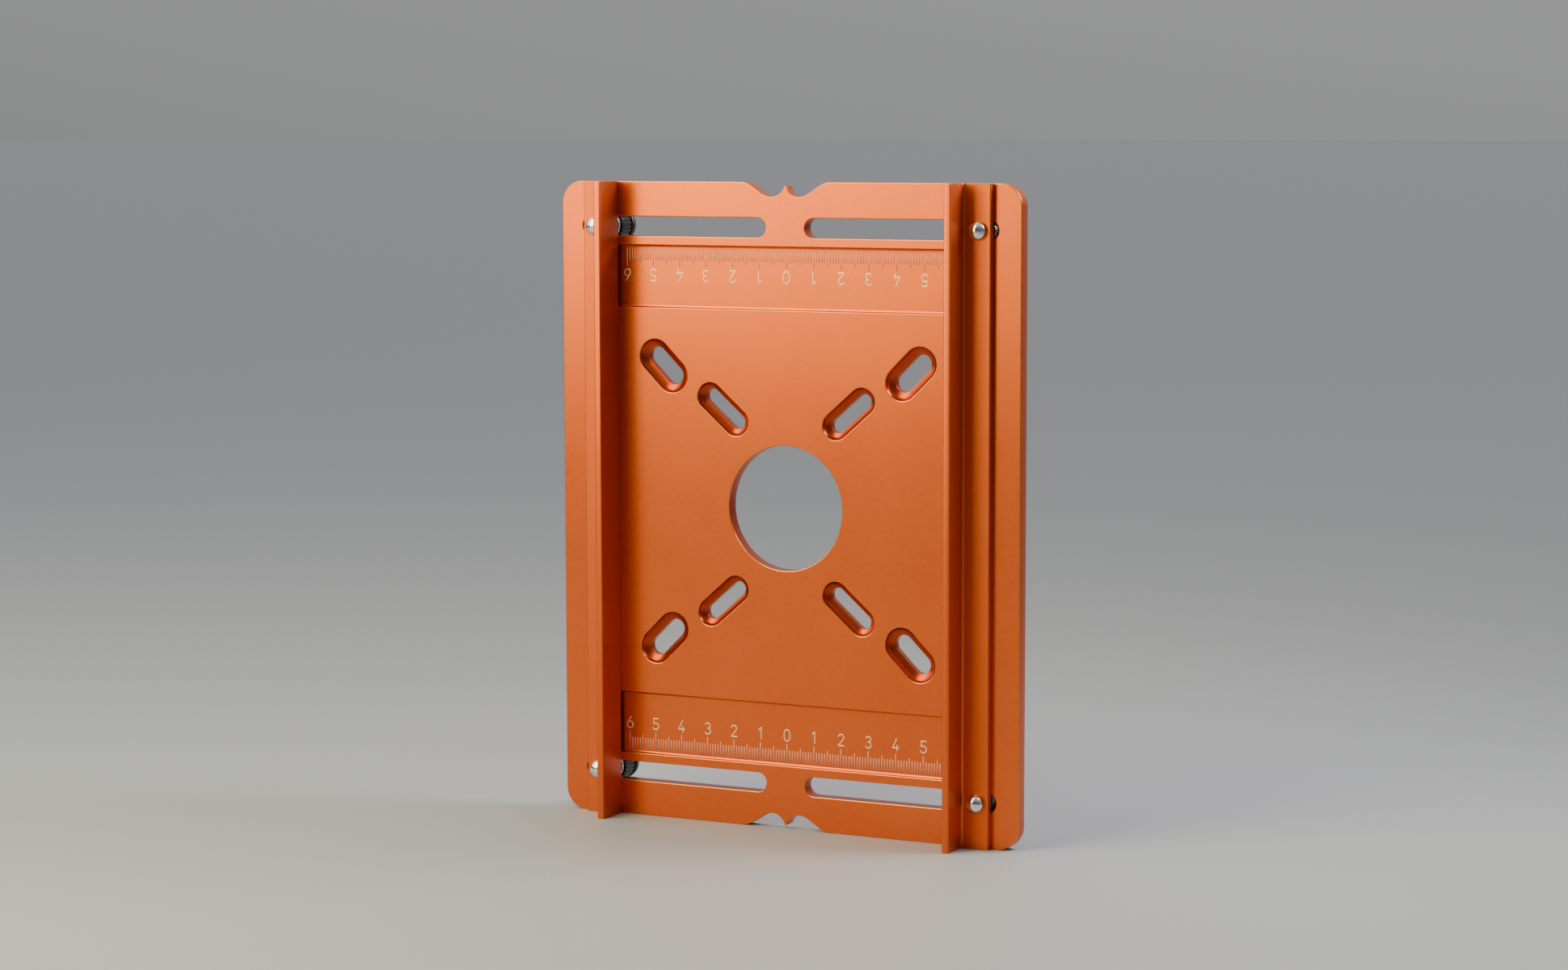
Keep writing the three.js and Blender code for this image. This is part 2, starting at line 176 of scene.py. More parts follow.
# One piece from its sheets: they are put together, welded where they meet and turned outwards.
def makePiece(name, sheets, materials, body, replaces=()):
    starts = np.cumsum([0] + [len(part["points"]) for part in sheets])
    points = np.concatenate([part["points"] for part in sheets]) * millimetre
    faces = [(part["faces"] + start).tolist() for part, start in zip(sheets, starts)]
    mesh = bpy.data.meshes.new(name)
    mesh.from_pydata(points.tolist(), [], sum(faces, []))
    mesh.polygons.foreach_set("material_index", np.concatenate([part["finish"] for part in sheets]))
    flat = np.repeat([part["flat"] for part in sheets], [len(part["faces"]) for part in sheets])
    mesh.attributes.new("flatFace", "BOOLEAN", "FACE").data.foreach_set("value", flat)
    work = bmesh.new()
    work.from_mesh(mesh)
    bmesh.ops.remove_doubles(work, verts=work.verts, dist=weldDistance)
    bmesh.ops.recalc_face_normals(work, faces=work.faces)
    openEdges = sum(not edge.is_manifold for edge in work.edges)
    work.to_mesh(mesh)
    work.free()
    if openEdges:
        raise ValueError(f"{name} has {openEdges} open edges")
    flat = np.empty(len(mesh.polygons), bool)
    mesh.attributes["flatFace"].data.foreach_get("value", flat)
    mesh.attributes.remove(mesh.attributes["flatFace"])
    mesh.polygons.foreach_set("use_smooth", np.ones(len(mesh.polygons), bool))
    markSharpEdges(mesh, flat)
    for material in materials:
        mesh.materials.append(material)
    mesh.update()
    piece = bpy.data.objects.new(name, mesh)
    bpy.context.scene.collection.objects.link(piece)
    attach(piece, body)
    if replaces:
        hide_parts(*replaces)


# Wraps a node's output, so that shader values are written as sums, differences, products and
# powers, with the value on either side.
class Wire:
    def __init__(self, tree, socket):
        self.tree = tree
        self.socket = socket

    def math(self, operation, first, second):
        return self.tree.node("ShaderNodeMath", {"operation": operation}, {0: first, 1: second})

    def __add__(self, other):
        return self.math("ADD", self, other)

    def __sub__(self, other):
        return self.math("SUBTRACT", self, other)

    def __rsub__(self, other):
        return self.math("SUBTRACT", other, self)

    def __mul__(self, other):
        return self.math("MULTIPLY", self, other)

    def __pow__(self, other):
        return self.math("POWER", self, other)

    def __rpow__(self, other):
        return self.math("POWER", other, self)

    __radd__ = __add__
    __rmul__ = __mul__


# How much detail a pattern's noise has, and the value that it lies about.
softDetail, fineDetail = 2.0, 3.0
noiseMean = 0.5


# The node tree of a material or a world. Maths comes from the operators of Wire, and any other
# node from one method.
class NodeTree:
    def __init__(self, owner):
        owner.use_nodes = True
        self.nodes = owner.node_tree.nodes
        self.links = owner.node_tree.links

    # A node of any kind: its settings come first, then the values or links of its sockets.
    def node(self, kind, settings, values, output=0):
        made = self.nodes.new(kind)
        for name, value in settings.items():
            setattr(made, name, value)
        for key, value in values.items():
            if isinstance(value, Wire):
                self.links.new(value.socket, made.inputs[key])
            else:
                made.inputs[key].default_value = value
        return Wire(self, made.outputs[output])

    # Two colours mixed: the first times one minus the factor, plus the second times the factor.
    def mixed(self, factor, first, second):
        settings = {"data_type": "RGBA"}
        return self.node("ShaderNodeMix", settings, {0: factor, 6: first, 7: second}, 2)


# A material under way: its main shader, with the given constants, and the place its patterns read.
class Finish(NodeTree):
    def __init__(self, name, **constants):
        self.material = bpy.data.materials.new(name)
        super().__init__(self.material)
        self.shader = self.nodes["Principled BSDF"]
        for socket, value in constants.items():
            self.shader.inputs[socket.replace("_", " ")].default_value = value
        self.place = self.node("ShaderNodeTexCoord", {}, {}, "Object")

    # Even noise about its mean, whose grains have the given size: the place is divided by the
    # size, which is larger along a stretched axis.
    def noise(self, grain, detail=softDetail, stretch=(1, 1, 1)):
        scale = tuple(1 / (grain * millimetre * factor) for factor in stretch)
        place = self.node("ShaderNodeMapping", {}, {"Vector": self.place, "Scale": scale})
        values = {"Vector": place, "Scale": 1.0, "Detail": detail}
        return self.node("ShaderNodeTexNoise", {}, values)

    def feed(self, socket, wire):
        self.links.new(wire.socket, self.shader.inputs[socket])

    # A relief that leans the normal as if the surface rose by the depth times the height.
    def bump(self, height, depth):
        values = {"Height": height, "Distance": depth * millimetre, "Strength": 1.0}
        self.feed("Normal", self.node("ShaderNodeBump", {}, values))


anodising = {
    "deep": (0.62, 0.092, 0.018, 1),
    "pale": (0.76, 0.136, 0.028, 1),
    # A paler tone for the rounded rims: partly edge wear, partly a painted highlight along every rim.
    "rim": (0.84, 0.33, 0.05, 1),
    # Darker tones for the walls inside the bore, the slots and the screw bowls: painted shade.
    "cutShadeDeep": (0.38, 0.036, 0.010, 1),
    "cutShadePale": (0.50, 0.062, 0.016, 1),
    "metallic": 0.92,
    "coat": 0.06,
    "coatRoughness": 0.3,
    "roughness": 0.30,
    "barRoughness": 0.40,
    "cutRoughness": 0.28,
    "roughnessSpread": 0.15,
    "grain": 0.35,
    "cloud": 28,
    "grainShare": 0.4,
    "drawnShare": 0.4,
    "bumpDepth": 0.011,
    "barStretch": (1, 1, 60),
}


# Dyed oxide over a bead-blasted surface. The share of the pale tone is a slow cloud and the
# grain, weighed together. Roughness follows drawn marks, and so does a part of the bump.
def anodised(name, deep, pale, roughness, stretch=(1, 1, 1)):
    finish = Finish(
        name,
        Metallic=anodising["metallic"],
        Coat_Weight=anodising["coat"],
        Coat_Roughness=anodising["coatRoughness"],
    )
    cloud = finish.noise(anodising["cloud"], fineDetail)
    grain = finish.noise(anodising["grain"], fineDetail)
    drawn = finish.noise(anodising["grain"], softDetail, stretch)
    grainShare, drawnShare = anodising["grainShare"], anodising["drawnShare"]
    share = cloud * (1 - grainShare) + grain * grainShare
    finish.feed("Base Color", finish.mixed(share, anodising[deep], anodising[pale]))
    spread = (drawn - noiseMean) * anodising["roughnessSpread"]
    finish.feed("Roughness", anodising[roughness] + spread)
    finish.bump(grain * (1 - drawnShare) + drawn * drawnShare, anodising["bumpDepth"])
    return finish.material


steel = {
    "polished": (0.86, 0.85, 0.83, 1),
    "polishedRoughness": 0.10,
    "polishedGrain": 0.5,
    "plated": (0.74, 0.74, 0.72, 1),
    "platedRoughness": 0.24,
    "platedGrain": 0.3,
    "platedStretch": (1, 20, 1),
    "darkShare": 0.82,
    "shadeGrains": 6,
    "bumpDepth": 0.004,
}


# Bright metal: its roughness swings about its mean with fine marks drawn along one axis, and
# its colour runs from a darker share of itself to itself with a coarser noise.
def brightMetal(name, kind, stretch=(1, 1, 1)):
    colour, roughness, grain = steel[kind], steel[f"{kind}Roughness"], steel[f"{kind}Grain"]
    finish = Finish(name, Metallic=1.0)
    marks = finish.noise(grain, fineDetail, stretch)
    shade = finish.noise(grain * steel["shadeGrains"])
    dark = (*(steel["darkShare"] * channel for channel in colour[:3]), 1)
    finish.feed("Base Color", finish.mixed(shade, dark, colour))
    finish.feed("Roughness", roughness + (marks - noiseMean) * roughness)
    finish.bump(marks, steel["bumpDepth"])
    return finish.material


moulding = {
    "black": (0.009, 0.009, 0.010, 1),
    "worn": (0.020, 0.019, 0.019, 1),
    "coat": 0.25,
    "coatRoughness": 0.25,
    "roughness": 0.26,
    "roughnessRise": 0.2,
    "skinGrain": 0.5,
    "wornGrain": 4,
    "bumpDepth": 0.01,
}


# Black moulded nylon: a fine orange-peel skin. Where it is worn it is paler and rougher, both
# in step with one noise.
def mouldedBlack(name):
    coat, coatRoughness = moulding["coat"], moulding["coatRoughness"]
    finish = Finish(name, Coat_Weight=coat, Coat_Roughness=coatRoughness)
    skin = finish.noise(moulding["skinGrain"])
    worn = finish.noise(moulding["wornGrain"])
    finish.feed("Base Color", finish.mixed(worn, moulding["black"], moulding["worn"]))
    finish.feed("Roughness", moulding["roughness"] + worn * moulding["roughnessRise"])
    finish.bump(skin, moulding["bumpDepth"])
    return finish.material


burning = {
    "tickWeak": (0.76, 0.26, 0.17, 1),
    "tickStrong": (0.88, 0.38, 0.27, 1),
    "tickMetallic": 0.1,
    "tickRoughness": 0.5,
    "numberWeak": (0.94, 0.60, 0.38, 1),
    "numberStrong": (0.98, 0.74, 0.54, 1),
    "numberMetallic": 0.6,
    "numberRoughness": 0.36,
    "roughnessSpread": 0.15,
    "grain": 0.25,
    "bumpDepth": 0.01,
}


# Laser marks: the dye is burnt out of the oxide, which leaves a pale stroke. Its colour,
# roughness and height all follow one fine grain.
def burntMark(name, kind):
    finish = Finish(name, Metallic=burning[f"{kind}Metallic"])
    grain = finish.noise(burning["grain"])
    weak, strong = burning[f"{kind}Weak"], burning[f"{kind}Strong"]
    finish.feed("Base Color", finish.mixed(grain, weak, strong))
    spread = (grain - noiseMean) * burning["roughnessSpread"]
    finish.feed("Roughness", burning[f"{kind}Roughness"] + spread)
    finish.bump(grain, burning["bumpDepth"])
    return finish.material


plateFinish = anodised("anodisedPlate", "deep", "pale", "roughness")
# The rim material is partly edge wear and partly a painted highlight: a paler tone on every rounded
# rim.
rimWearAndHighlightFinish = anodised("anodisedRimWearAndHighlight", "pale", "rim", "roughness")
# The walls inside holes, slots and bowls get a darker tone, which is painted shade.
cutPaintedShadeFinish = anodised("anodisedCutPaintedShade", "cutShadeDeep", "cutShadePale", "cutRoughness")
barFinish = anodised("anodisedBar", "deep", "pale", "barRoughness", anodising["barStretch"])
tickFinish = burntMark("burntTicks", "tick")
numberFinish = burntMark("burntNumbers", "number")
polishedFinish = brightMetal("polishedSteel", "polished")
platedFinish = brightMetal("platedSteel", "plated", steel["platedStretch"])
blackFinish = mouldedBlack("blackMoulding")
print("materials made")

plate = {
    "rim": 0.3,
    "cornerRadius": 7.5,
    "notchHalfWidth": 16.5,
    "notchDepth": 4.9,
    "notchValleyOffset": 5.2,
    "notchTipDepth": 1.2,
    "notchTipRound": 0.35,
    "notchShoulderShare": 0.4,
    "notchValleyShare": 0.32,
    "boreRadius": 20.9,
    "slotInset": 15.1,
    "slotRadius": 3.25,
    "slotBridge": 14.4,
    "slotEndMargin": 8,
    "bandInset": 21.3,
    "bandHeight": 21.1,
    "bandEndMargin": 12.4,
    "bandDepth": 1.2,
    "bandCornerRadius": 3,
    "bandRim": 0.2,
    "bandFloorRound": 0.85,
    "throatRim": 0.15,
    "bowlDepth": 2.3,
    "bowlTurn": 50,
}
outerScrewSlot = {"across": 45.7, "up": 46.2, "turn": 44.5, "span": 9.1, "throat": 3.1, "bowl": 5.75}
innerScrewSlot = {"across": 23.25, "up": 32.3, "turn": 41, "span": 12.7, "throat": 2.45, "bowl": 4.65}
rimSteps = 4
roundSteps = 20
boreSteps = 80
bowlSteps = 10
rampSteps = 24
valleySteps = 16
tipSteps = 4
bandCornerSteps = 10
rimBands = [onRim] * rimSteps

plateLow, plateHigh = nodeBox("base_plate")
plateWidth, plateThickness, plateHeight = plateHigh - plateLow
front = plateLow[1]
middle = plateHeight / 2


# A quarter round from a face to the wall beside it, as (distance into the face, depth) rows:
# radius times one minus the sine, and radius times one minus the cosine.
def quarterRound(radius, steps=rimSteps):
    angle = np.radians(np.linspace(0, 90, steps + 1))
    return np.column_stack([radius * (1 - np.sin(angle)), radius * (1 - np.cos(angle))])


# The wall right through the plate with both rims rounded: a quarter round from the front, and
# the same one turned over at the back.
def throughProfile(rim):
    nearFace = quarterRound(rim)
    farFace = nearFace[::-1] * [1, -1] + [0, plateThickness]
    return np.concatenate([nearFace, farFace])


# A screw slot's wall and the finish of its bands: a rounded rim, the first part of a quarter
# ellipse that still slopes where it meets the lip, a small round into the throat, and the
# throat with its far rim.
def bowlProfile(slot):
    rim, lip = plate["rim"], plate["throatRim"]
    angle = np.radians(np.linspace(0, plate["bowlTurn"], bowlSteps + 1))
    ledge = slot["throat"] + lip
    closing = np.cos(angle) - np.cos(angle[-1])
    bowl = np.column_stack([
        ledge + (slot["bowl"] - ledge) * closing / closing[0],
        rim + (plate["bowlDepth"] - rim) * np.sin(angle) / np.sin(angle[-1]),
    ])
    nearRim = quarterRound(rim) + [slot["bowl"], 0]
    lipRound = quarterRound(lip) + [slot["throat"], plate["bowlDepth"]]
    farRim = quarterRound(rim)[::-1] * [1, -1] + [slot["throat"], plateThickness]
    profile = np.concatenate([nearRim, bowl[1:], lipRound[1:], farRim])
    cutBands = [onCut] * (bowlSteps + rimSteps + 1)
    return profile, rimBands + cutBands + rimBands


# Plane points (x, z) at a depth below the front face, as points in space.
def atDepth(depth):
    return lambda flat: np.column_stack([flat[:, 0], np.full(len(flat), front + depth), flat[:, 1]])


# Plane points (x, y) at a height above the floor, as points in space.
def atHeight(height):
    return lambda flat: np.column_stack([flat, np.full(len(flat), height)])


# Rows round a slot with round ends, one for each (radius, depth) of its profile: two half
# circles of that radius about middles that lie span apart, turned and set at its place. With
# no span it is a full circle.
def slotRows(profile, span, turn, place, steps=roundSteps):
    radius, depth = np.asarray(profile).T
    half = np.linspace(-math.pi / 2, math.pi / 2, steps + 1)
    angle = np.concatenate([half, half + math.pi])
    reach = np.repeat([span / 2, -span / 2], steps + 1)
    if not span:
        angle = np.linspace(0, 2 * math.pi, 2 * steps, endpoint=False)
        reach = 0
    along = radius[:, None] * np.cos(angle) + reach
    across = radius[:, None] * np.sin(angle)
    cosine, sine = math.cos(math.radians(turn)), math.sin(math.radians(turn))
    x = place[0] + along * cosine - across * sine
    z = place[1] + along * sine + across * cosine
    return np.stack([x, np.broadcast_to(front + depth[:, None], x.shape), z], axis=-1)


# Half of the plate's edge about its middle: the right side, the upper edge with its centre
# pointer, where two curved ramps run into round valleys that meet in a small rounded tip. A
# circle through a valley's floor and the tip has a radius of offset squared plus rise squared,
# over twice the rise. Less the tip's round, it is the valley's radius.
def halfPlateEdge():
    right, top, radius = plateWidth / 2, plateHeight / 2, plate["cornerRadius"]
    wide, offset = plate["notchHalfWidth"], plate["notchValleyOffset"]
    rise = plate["notchDepth"] - plate["notchTipDepth"]
    centreDistance = (offset**2 + rise**2) / (2 * rise)
    valleyRadius = centreDistance - plate["notchTipRound"]
    tipAngle = math.degrees(math.atan2(centreDistance - rise, offset))
    valley = top - plate["notchDepth"]
    shoulder = wide - plate["notchShoulderShare"] * (wide - offset)
    handle = offset + plate["notchValleyShare"] * (wide - offset)
    tip = (0, top - plate["notchTipDepth"] - plate["notchTipRound"])
    ramp = cubic([(wide, top), (shoulder, top), (handle, valley), (offset, valley)], rampSteps)
    valleyMiddle = (offset, valley + valleyRadius)
    hollow = arc(valleyMiddle, valleyRadius, -90, tipAngle - 180, valleySteps)
    point = arc(tip, plate["notchTipRound"], tipAngle, 90, tipSteps)
    rightHalf = np.concatenate([ramp, hollow, point])
    leftHalf = rightHalf[::-1] * [-1, 1]
    return np.concatenate([
        arc((right - radius, top - radius), radius, 0, 90, roundSteps),
        rightHalf,
        leftHalf,
        arc((radius - right, top - radius), radius, 90, 180, roundSteps),
    ])


# A scale band's rows and the finish of its bands: rectangles with round corners, which draw in
# along a broken rim, go straight down and then follow a quarter round into the floor.
def bandRows(end):
    rimRows = quarterRound(plate["bandRim"])
    angle = np.radians(np.linspace(0, 90, bowlSteps + 1))
    floorRound = plate["bandFloorRound"]
    into = floorRound * (np.cos(angle) - 1)
    deep = plate["bandDepth"] - floorRound * (1 - np.sin(angle))
    profile = np.concatenate([rimRows, np.column_stack([into, deep])])
    reach = plateWidth / 2 - plate["bandEndMargin"] - plate["bandCornerRadius"]
    rise = plate["bandHeight"] / 2 - plate["bandCornerRadius"]
    height = middle + end * (middle - plate["bandInset"] - plate["bandHeight"] / 2)
    quarters = [(reach, rise, 0), (-reach, rise, 90), (-reach, -rise, 180), (reach, -rise, 270)]
    rows = []
    for into, deep in profile:
        radius = plate["bandCornerRadius"] + into
        loop = [
            arc((x, height + z), radius, start, start + 90, bandCornerSteps)
            for x, z, start in quarters
        ]
        rows.append(atDepth(deep)(np.concatenate(loop)))
    return np.array(rows), rimBands + [onFace] * (bowlSteps + 1)


# The plate: its outer edge, a wall for each hole and slot, the two scale bands with their
# floors, and the flat front and back between them.
def makePlate():
    half = halfPlateEdge()
    edge = withoutRepeats(np.concatenate([half, -half])) + [0, middle]
    normals = loopNormals(edge)
    profile = throughProfile(plate["rim"])
    edgeRows = np.array([atDepth(deep)(edge - into * normals) for into, deep in profile])
    sheets = [strip(edgeRows, rimBands + [onFace] + rimBands)]
    wallFinish = rimBands + [onCut] + rimBands
    frontHoles, backHoles = [], []
    boreProfile = profile + [plate["boreRadius"], 0]
    cuts = [(slotRows(boreProfile, 0, 0, (0, middle), boreSteps), wallFinish)]
    slotEnd = plateWidth / 2 - plate["slotEndMargin"]
    slotStart = plate["slotBridge"] / 2
    slotSpan = slotEnd - slotStart - 2 * plate["slotRadius"]
    for sideName, levelName in corners:
        side, level = signs[sideName], signs[levelName]
        place = (side * (slotStart + slotEnd) / 2, middle + level * (middle - plate["slotInset"]))
        cuts.append((slotRows(profile + [plate["slotRadius"], 0], slotSpan, 0, place), wallFinish))
        for slot in (outerScrewSlot, innerScrewSlot):
            bowl, bowlFinish = bowlProfile(slot)
            place = (side * slot["across"], middle + level * slot["up"])
            turn = side * level * slot["turn"]
            cuts.append((slotRows(bowl, slot["span"], turn, place), bowlFinish))
    for rows, finish in cuts:
        sheets.append(strip(rows, finish))
        frontHoles.append(rows[0][:, planeAxes])
        backHoles.append(rows[-1][:, planeAxes])
    for end in (1, -1):
        rows, bandFinish = bandRows(end)
        sheets.append(strip(rows, bandFinish))
        sheets.append(flatFace(rows[-1][:, planeAxes], [], atDepth(plate["bandDepth"])))
        frontHoles.append(rows[0][:, planeAxes])
    sheets.append(flatFace(edgeRows[0][:, planeAxes], frontHoles, atDepth(0)))
    sheets.append(flatFace(edgeRows[-1][:, planeAxes], backHoles, atDepth(plateThickness)))
    materials = [plateFinish, rimWearAndHighlightFinish, cutPaintedShadeFinish]
    makePiece("plate_machined", sheets, materials, "plate", ["base_plate"])


makePlate()
print("plate made")

bar = {
    "uprightThickness": 2.5,
    "flangeThickness": 2.5,
    "fillet": 0.8,
    "edgeRound": 0.4,
    "endRound": 0.2,
    "holeRadius": 2.75,
}


# A fence: its angle profile carried up the Z axis, drawn in a little at both ends. The flange's
# front and back are left out of that strip and filled round the stud holes instead.
def makeBar(sideName):
    side = signs[sideName]
    node = f"{sideName}_fence"
    low, high = nodeBox(node)
    inner, outer = (low[0], high[0]) if side > 0 else (high[0], low[0])
    nose, back = low[1], high[1]
    upright = inner + side * bar["uprightThickness"]
    seat = back - bar["flangeThickness"]
    edge = bar["edgeRound"]
    profile = [
        (inner, back, edge),
        (inner, nose, edge),
        (upright, nose, edge),
        (upright, seat, bar["fillet"]),
        (outer, seat, edge),
        (outer, back, edge),
    ]
    if side < 0:
        profile = profile[::-1]
    loop = roundedPolygon(profile, rimSteps)
    normals = loopNormals(loop)
    nearEnd = quarterRound(bar["endRound"])
    farEnd = nearEnd[::-1] * [1, -1] + [0, high[2]]
    stations = np.concatenate([nearEnd, farEnd])
    rows = [atHeight(height)(loop - into * normals) for into, height in stations]
    following = np.roll(loop, -1, axis=0)
    bottom, top = nearEnd[-1][1], farEnd[0][1]
    circles = []
    for levelName in ("upper", "lower"):
        centre = nodeBox(f"{sideName}_{levelName}_stud").mean(axis=0)[planeAxes]
        circles.append(arc(centre, bar["holeRadius"], 0, 360, 2 * roundSteps)[:-1])
    sheets, leaveOut = [], []
    for depth in (seat, back):
        level = abs(loop[:, 1] - depth) < levelTolerance
        column = np.flatnonzero(level & np.roll(level, -1))[0]
        leaveOut.append((rimSteps, column))
        start, end = sorted([loop[column, 0], following[column, 0]])
        outline = np.array([(start, bottom), (end, bottom), (end, top), (start, top)])
        sheets.append(flatFace(outline, circles, atDepth(depth - front)))
    for circle in circles:
        sheets.append(strip([atDepth(seat - front)(circle), atDepth(back - front)(circle)]))
    sheets.append(strip(rows, rimBands + [onFace] + rimBands, leaveOut))
    for row in (rows[0], rows[-1]):
        sheets.append(flatFace(row[:, :2], [], atHeight(row[0, 2])))
    materials = [barFinish, rimWearAndHighlightFinish]
    makePiece(f"{node}_extruded", sheets, materials, node, [node])


for sideName in ("left", "right"):
    makeBar(sideName)
print("fences made")

stud = {
    "headLand": 0.7,
    "seatRound": 0.1,
    "shankRadius": 2.5,
    "endBreak": 0.6,
    "threadPitch": 0.8,
    "threadDepth": 0.32,
    "threadRun": 0.8,
    "threadStart": 0.02,
    "threadRootShare": 1.25,
    "threadSlopeShare": 1.6,
    "threadSteps": 8,
    "domeSteps": 16,
    "steps": 48,
}


# Rings about a stud's axis: each row's radius may change with the angle, and its point lies at
# the radius times sine and cosine of the angle round the axis, at the row's depth.
def ringRows(radii, depths, axis, steps):
    angle = np.linspace(0, 2 * math.pi, steps, endpoint=False)
    radii = np.broadcast_to(radii, (len(depths), steps))
    depth = np.broadcast_to(np.asarray(depths)[:, None], radii.shape)
    x = axis[0] + radii * np.sin(angle)
    z = axis[1] + radii * np.cos(angle)
    return np.stack([x, depth, z], axis=-1)


# A stud: a dome, a short land and its seat, then a shank whose radius dips along a helix. The
# dip is a triangle wave of depth over pitch less angle over a full turn, cut flat at the crest
# and at the root. It grows from nothing behind the flange, and a cone breaks the shank's end.
def makeStud(node, body, axis):
    low, high = nodeBox(node)
    steps = stud["steps"]
    headRadius = (high[0] - low[0]) / 2
    seat = nodeBox(body)[1][1] - bar["flangeThickness"]
    land = stud["headLand"]
    dome = seat - land - low[1]
    angle = np.radians(np.linspace(0, 90, stud["domeSteps"] + 1))
    domeRadii = headRadius * np.sin(angle)
    domeDepths = seat - land - dome * np.cos(angle)
    seatRound = quarterRound(stud["seatRound"])[::-1]
    shank, last = stud["shankRadius"], high[1]
    headRadii = np.concatenate([domeRadii, headRadius - seatRound[:, 0], [shank]])
    headDepths = np.concatenate([domeDepths, seat - seatRound[:, 1], [seat]])
    pitch = stud["threadPitch"]
    start = seat + stud["threadStart"]
    shankDepths = np.arange(start, last, pitch / stud["threadSteps"])
    turn = np.linspace(0, 1, steps, endpoint=False)
    phase = (shankDepths[:, None] / pitch - turn) % 1
    wave = stud["threadRootShare"] - abs(2 * phase - 1) * stud["threadSlopeShare"]
    groove = np.clip(wave, 0, 1)
    fade = np.clip((shankDepths - seat - bar["flangeThickness"]) / stud["threadRun"], 0, 1)
    shankRadii = shank - stud["threadDepth"] * groove * fade[:, None]
    tip = shank - np.clip(shankDepths - last + stud["endBreak"], 0, None)
    shankRadii = np.minimum(shankRadii, tip[:, None])
    radii = np.concatenate([
        np.repeat(headRadii[:, None], steps, axis=1),
        shankRadii,
        np.zeros((1, steps)),
    ])
    depths = np.concatenate([headDepths, shankDepths, shankDepths[-1:]])
    rows = ringRows(radii, depths, axis, steps)
    makePiece(f"{node}_threaded", [strip(rows)], [polishedFinish], body, [node])


washer = {
    "holeRadius": 2.75,
    "edgeRound": 0.15,
    "steps": 48,
}


# A washer: a rounded rectangle turned about the stud's axis.
def makeWasher(node, axis):
    low, high = nodeBox(node)
    outer = (high[0] - low[0]) / 2
    hole, edge = washer["holeRadius"], washer["edgeRound"]
    face, back = low[1], high[1]
    section = [(hole, face, edge), (outer, face, edge), (outer, back, edge), (hole, back, edge)]
    loop = roundedPolygon(section, rimSteps)
    loop = np.concatenate([loop, loop[:1]])
    rows = ringRows(loop[:, :1], loop[:, 1], axis, washer["steps"])
    makePiece(f"{node}_stamped", [strip(rows)], [platedFinish], node, [node])


insert = {
    "acrossFlats": 8,
    "holeRadius": 2.65,
    "endBreak": 0.5,
    "faceInset": 0.1,
    "coneSteps": 6,
    "steps": 96,
}


# The radius of a hexagon at each angle: half its width over the cosine of the angle to the
# middle of the nearest side.
def hexagonRadii(acrossFlats, steps):
    angle = np.linspace(0, 360, steps, endpoint=False)
    return acrossFlats / 2 / np.cos(np.radians((angle + 30) % 60 - 30))


# The insert: a hexagon cut back by a cone at both ends, with a hole along its axis. The cone
# runs from a circle just inside the flats to one through the corners.
def makeInsert(node, body, axis):
    low, high = nodeBox(node)
    steps = insert["steps"]
    hexagon = hexagonRadii(insert["acrossFlats"], steps)
    circle = insert["acrossFlats"] / 2 - insert["faceInset"]
    run = np.linspace(0, 1, insert["coneSteps"] + 1)
    cone = circle + (hexagon.max() - circle) * run
    slope = insert["endBreak"] * run
    hole = np.full((1, steps), insert["holeRadius"])
    radii = np.concatenate([
        hole,
        np.minimum(hexagon, cone[:, None]),
        np.minimum(hexagon, cone[::-1, None]),
        hole,
        hole,
    ])
    face, back = low[1], high[1]
    depths = np.concatenate([[face], face + slope, (back - slope)[::-1], [back], [face]])
    rows = ringRows(radii, depths, axis, steps)
    makePiece(f"{node}_turned", [strip(rows)], [platedFinish], body, [node])


grip = {
    "radius": 5.8,
    "length": 5.9,
    "endSteps": 4,
    "knurlCount": 26,
    "knurlDepth": 0.5,
    "knurlSwing": 0.75,
    "knurlSteps": 8,
    "grooveRadius": 4.9,
    "grooveWidth": 0.5,
    "collarRound": 0.6,
    "collarSteps": 6,
    "dishRadius": 4.2,
    "dishDepth": 0.5,
    "insertLength": 5,
    "insertStandOff": 0.8,
    "insertClearance": 0.3,
}


